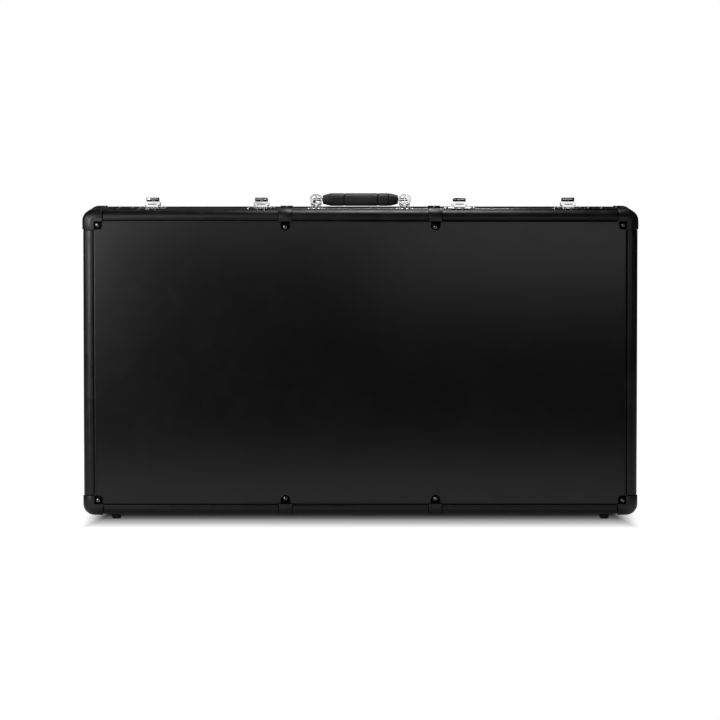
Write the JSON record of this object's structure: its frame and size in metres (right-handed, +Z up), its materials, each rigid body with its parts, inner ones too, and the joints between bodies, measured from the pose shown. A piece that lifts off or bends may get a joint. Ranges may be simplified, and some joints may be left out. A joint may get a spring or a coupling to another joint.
{
  "type": "keyboard case",
  "caption": "Hard case for a keyboard: framed board shells, hinged lid, draw latches, folding handle and foam lining.",
  "frame": {"origin": "on the floor under the middle of the case, which stands on its hinge side", "axes": "+X along the case, +Y from the lid's front to the base's back, +Z up to the handle"},
  "size_m": [0.906, 0.2028, 0.5271],
  "materials": {
    "laminated_board": "black fine-grained laminate over plywood",
    "frame_black": "satin black anodised extrusion",
    "pressed_black": "semi-gloss black painted steel",
    "black_rivet": "glossy black rivet heads",
    "chrome": "bright chrome plate",
    "steel": "zinc-plated steel",
    "lock_metal": "plated key cylinder",
    "grip_black": "black grained moulding",
    "foot_rubber": "matt black rubber",
    "foam_grey": "dark grey foam",
    "divider_board": "board covered in dark felt"
  },
  "bodies": {
    "base": {"back_panel": "laminated_board", "base_top_wall": "laminated_board", "base_bottom_wall": "laminated_board", "base_left_wall": "laminated_board", "base_right_wall": "laminated_board", "base_frame_long": "frame_black", "base_frame_short": "frame_black", "base_corner_posts": "frame_black", "base_rim": "frame_black", "base_corners": "pressed_black", "base_edge_clamps": "pressed_black", "base_rim_corners": "pressed_black", "base_rivets": "black_rivet", "base_feet": "foot_rubber", "base_foot_screws": "steel", "base_hinge_leaves": "steel", "base_small_rivets": "steel", "hinge_pins": "steel", "base_foam_floor": "foam_grey", "base_foam_sides": "foam_grey", "cable_bay_divider": "divider_board", "latch_base_plates": "chrome", "latch_pivot_pins": "steel", "handle_brackets": "chrome", "handle_pivot_pins": "steel"},
    "lid": {"front_panel": "laminated_board", "lid_top_wall": "laminated_board", "lid_bottom_wall": "laminated_board", "lid_left_wall": "laminated_board", "lid_right_wall": "laminated_board", "lid_frame_long": "frame_black", "lid_frame_short": "frame_black", "lid_corner_posts": "frame_black", "lid_rim": "frame_black", "lid_corners": "pressed_black", "lid_edge_clamps": "pressed_black", "lid_rim_corners": "pressed_black", "lid_rivets": "black_rivet", "lid_feet": "foot_rubber", "lid_foot_screws": "steel", "lid_hinge_leaves": "steel", "lid_small_rivets": "steel", "latch_catches": "chrome", "lid_foam": "foam_grey"},
    "handle": {"handle_core": "steel", "handle_grip": "grip_black"},
    "lever_1": {"latch_lever_1": "chrome", "latch_lock_1": "lock_metal"},
    "claw_1": {"latch_claw_1": "chrome"},
    "lever_2": {"latch_lever_2": "chrome", "latch_lock_2": "lock_metal"},
    "claw_2": {"latch_claw_2": "chrome"},
    "lever_3": {"latch_lever_3": "chrome", "latch_lock_3": "lock_metal"},
    "claw_3": {"latch_claw_3": "chrome"},
    "lever_4": {"latch_lever_4": "chrome", "latch_lock_4": "lock_metal"},
    "claw_4": {"latch_claw_4": "chrome"}
  },
  "joints": [
    {"name": "lid_hinge", "type": "hinge", "parent": "base", "child": "lid", "pos_m": [0, -0.025, 0.0048], "axis": [1, 0, 0], "range_deg": [0, 100]},
    {"name": "handle_fold", "type": "hinge", "parent": "base", "child": "handle", "pos_m": [0, 0.013, 0.5105], "axis": [1, 0, 0], "range_deg": [0, 95]},
    {"name": "latch_lever_1_lift", "type": "hinge", "parent": "base", "child": "lever_1", "pos_m": [-0.34, -0.009, 0.511], "axis": [1, 0, 0], "range_deg": [0, 100]},
    {"name": "latch_claw_1_swing", "type": "hinge", "parent": "lever_1", "child": "claw_1", "pos_m": [-0.34, -0.003, 0.5105], "axis": [1, 0, 0], "range_deg": [-116, 0]},
    {"name": "latch_lever_2_lift", "type": "hinge", "parent": "base", "child": "lever_2", "pos_m": [-0.162, -0.009, 0.511], "axis": [1, 0, 0], "range_deg": [0, 100]},
    {"name": "latch_claw_2_swing", "type": "hinge", "parent": "lever_2", "child": "claw_2", "pos_m": [-0.162, -0.003, 0.5105], "axis": [1, 0, 0], "range_deg": [-116, 0]},
    {"name": "latch_lever_3_lift", "type": "hinge", "parent": "base", "child": "lever_3", "pos_m": [0.162, -0.009, 0.511], "axis": [1, 0, 0], "range_deg": [0, 100]},
    {"name": "latch_claw_3_swing", "type": "hinge", "parent": "lever_3", "child": "claw_3", "pos_m": [0.162, -0.003, 0.5105], "axis": [1, 0, 0], "range_deg": [-116, 0]},
    {"name": "latch_lever_4_lift", "type": "hinge", "parent": "base", "child": "lever_4", "pos_m": [0.34, -0.009, 0.511], "axis": [1, 0, 0], "range_deg": [0, 100]},
    {"name": "latch_claw_4_swing", "type": "hinge", "parent": "lever_4", "child": "claw_4", "pos_m": [0.34, -0.003, 0.5105], "axis": [1, 0, 0], "range_deg": [-116, 0]}
  ],
  "couplings": [
    {"joint": "latch_claw_1_swing", "follows": "latch_lever_1_lift", "ratio": -1.15},
    {"joint": "latch_claw_2_swing", "follows": "latch_lever_2_lift", "ratio": -1.15},
    {"joint": "latch_claw_3_swing", "follows": "latch_lever_3_lift", "ratio": -1.15},
    {"joint": "latch_claw_4_swing", "follows": "latch_lever_4_lift", "ratio": -1.15}
  ]
}
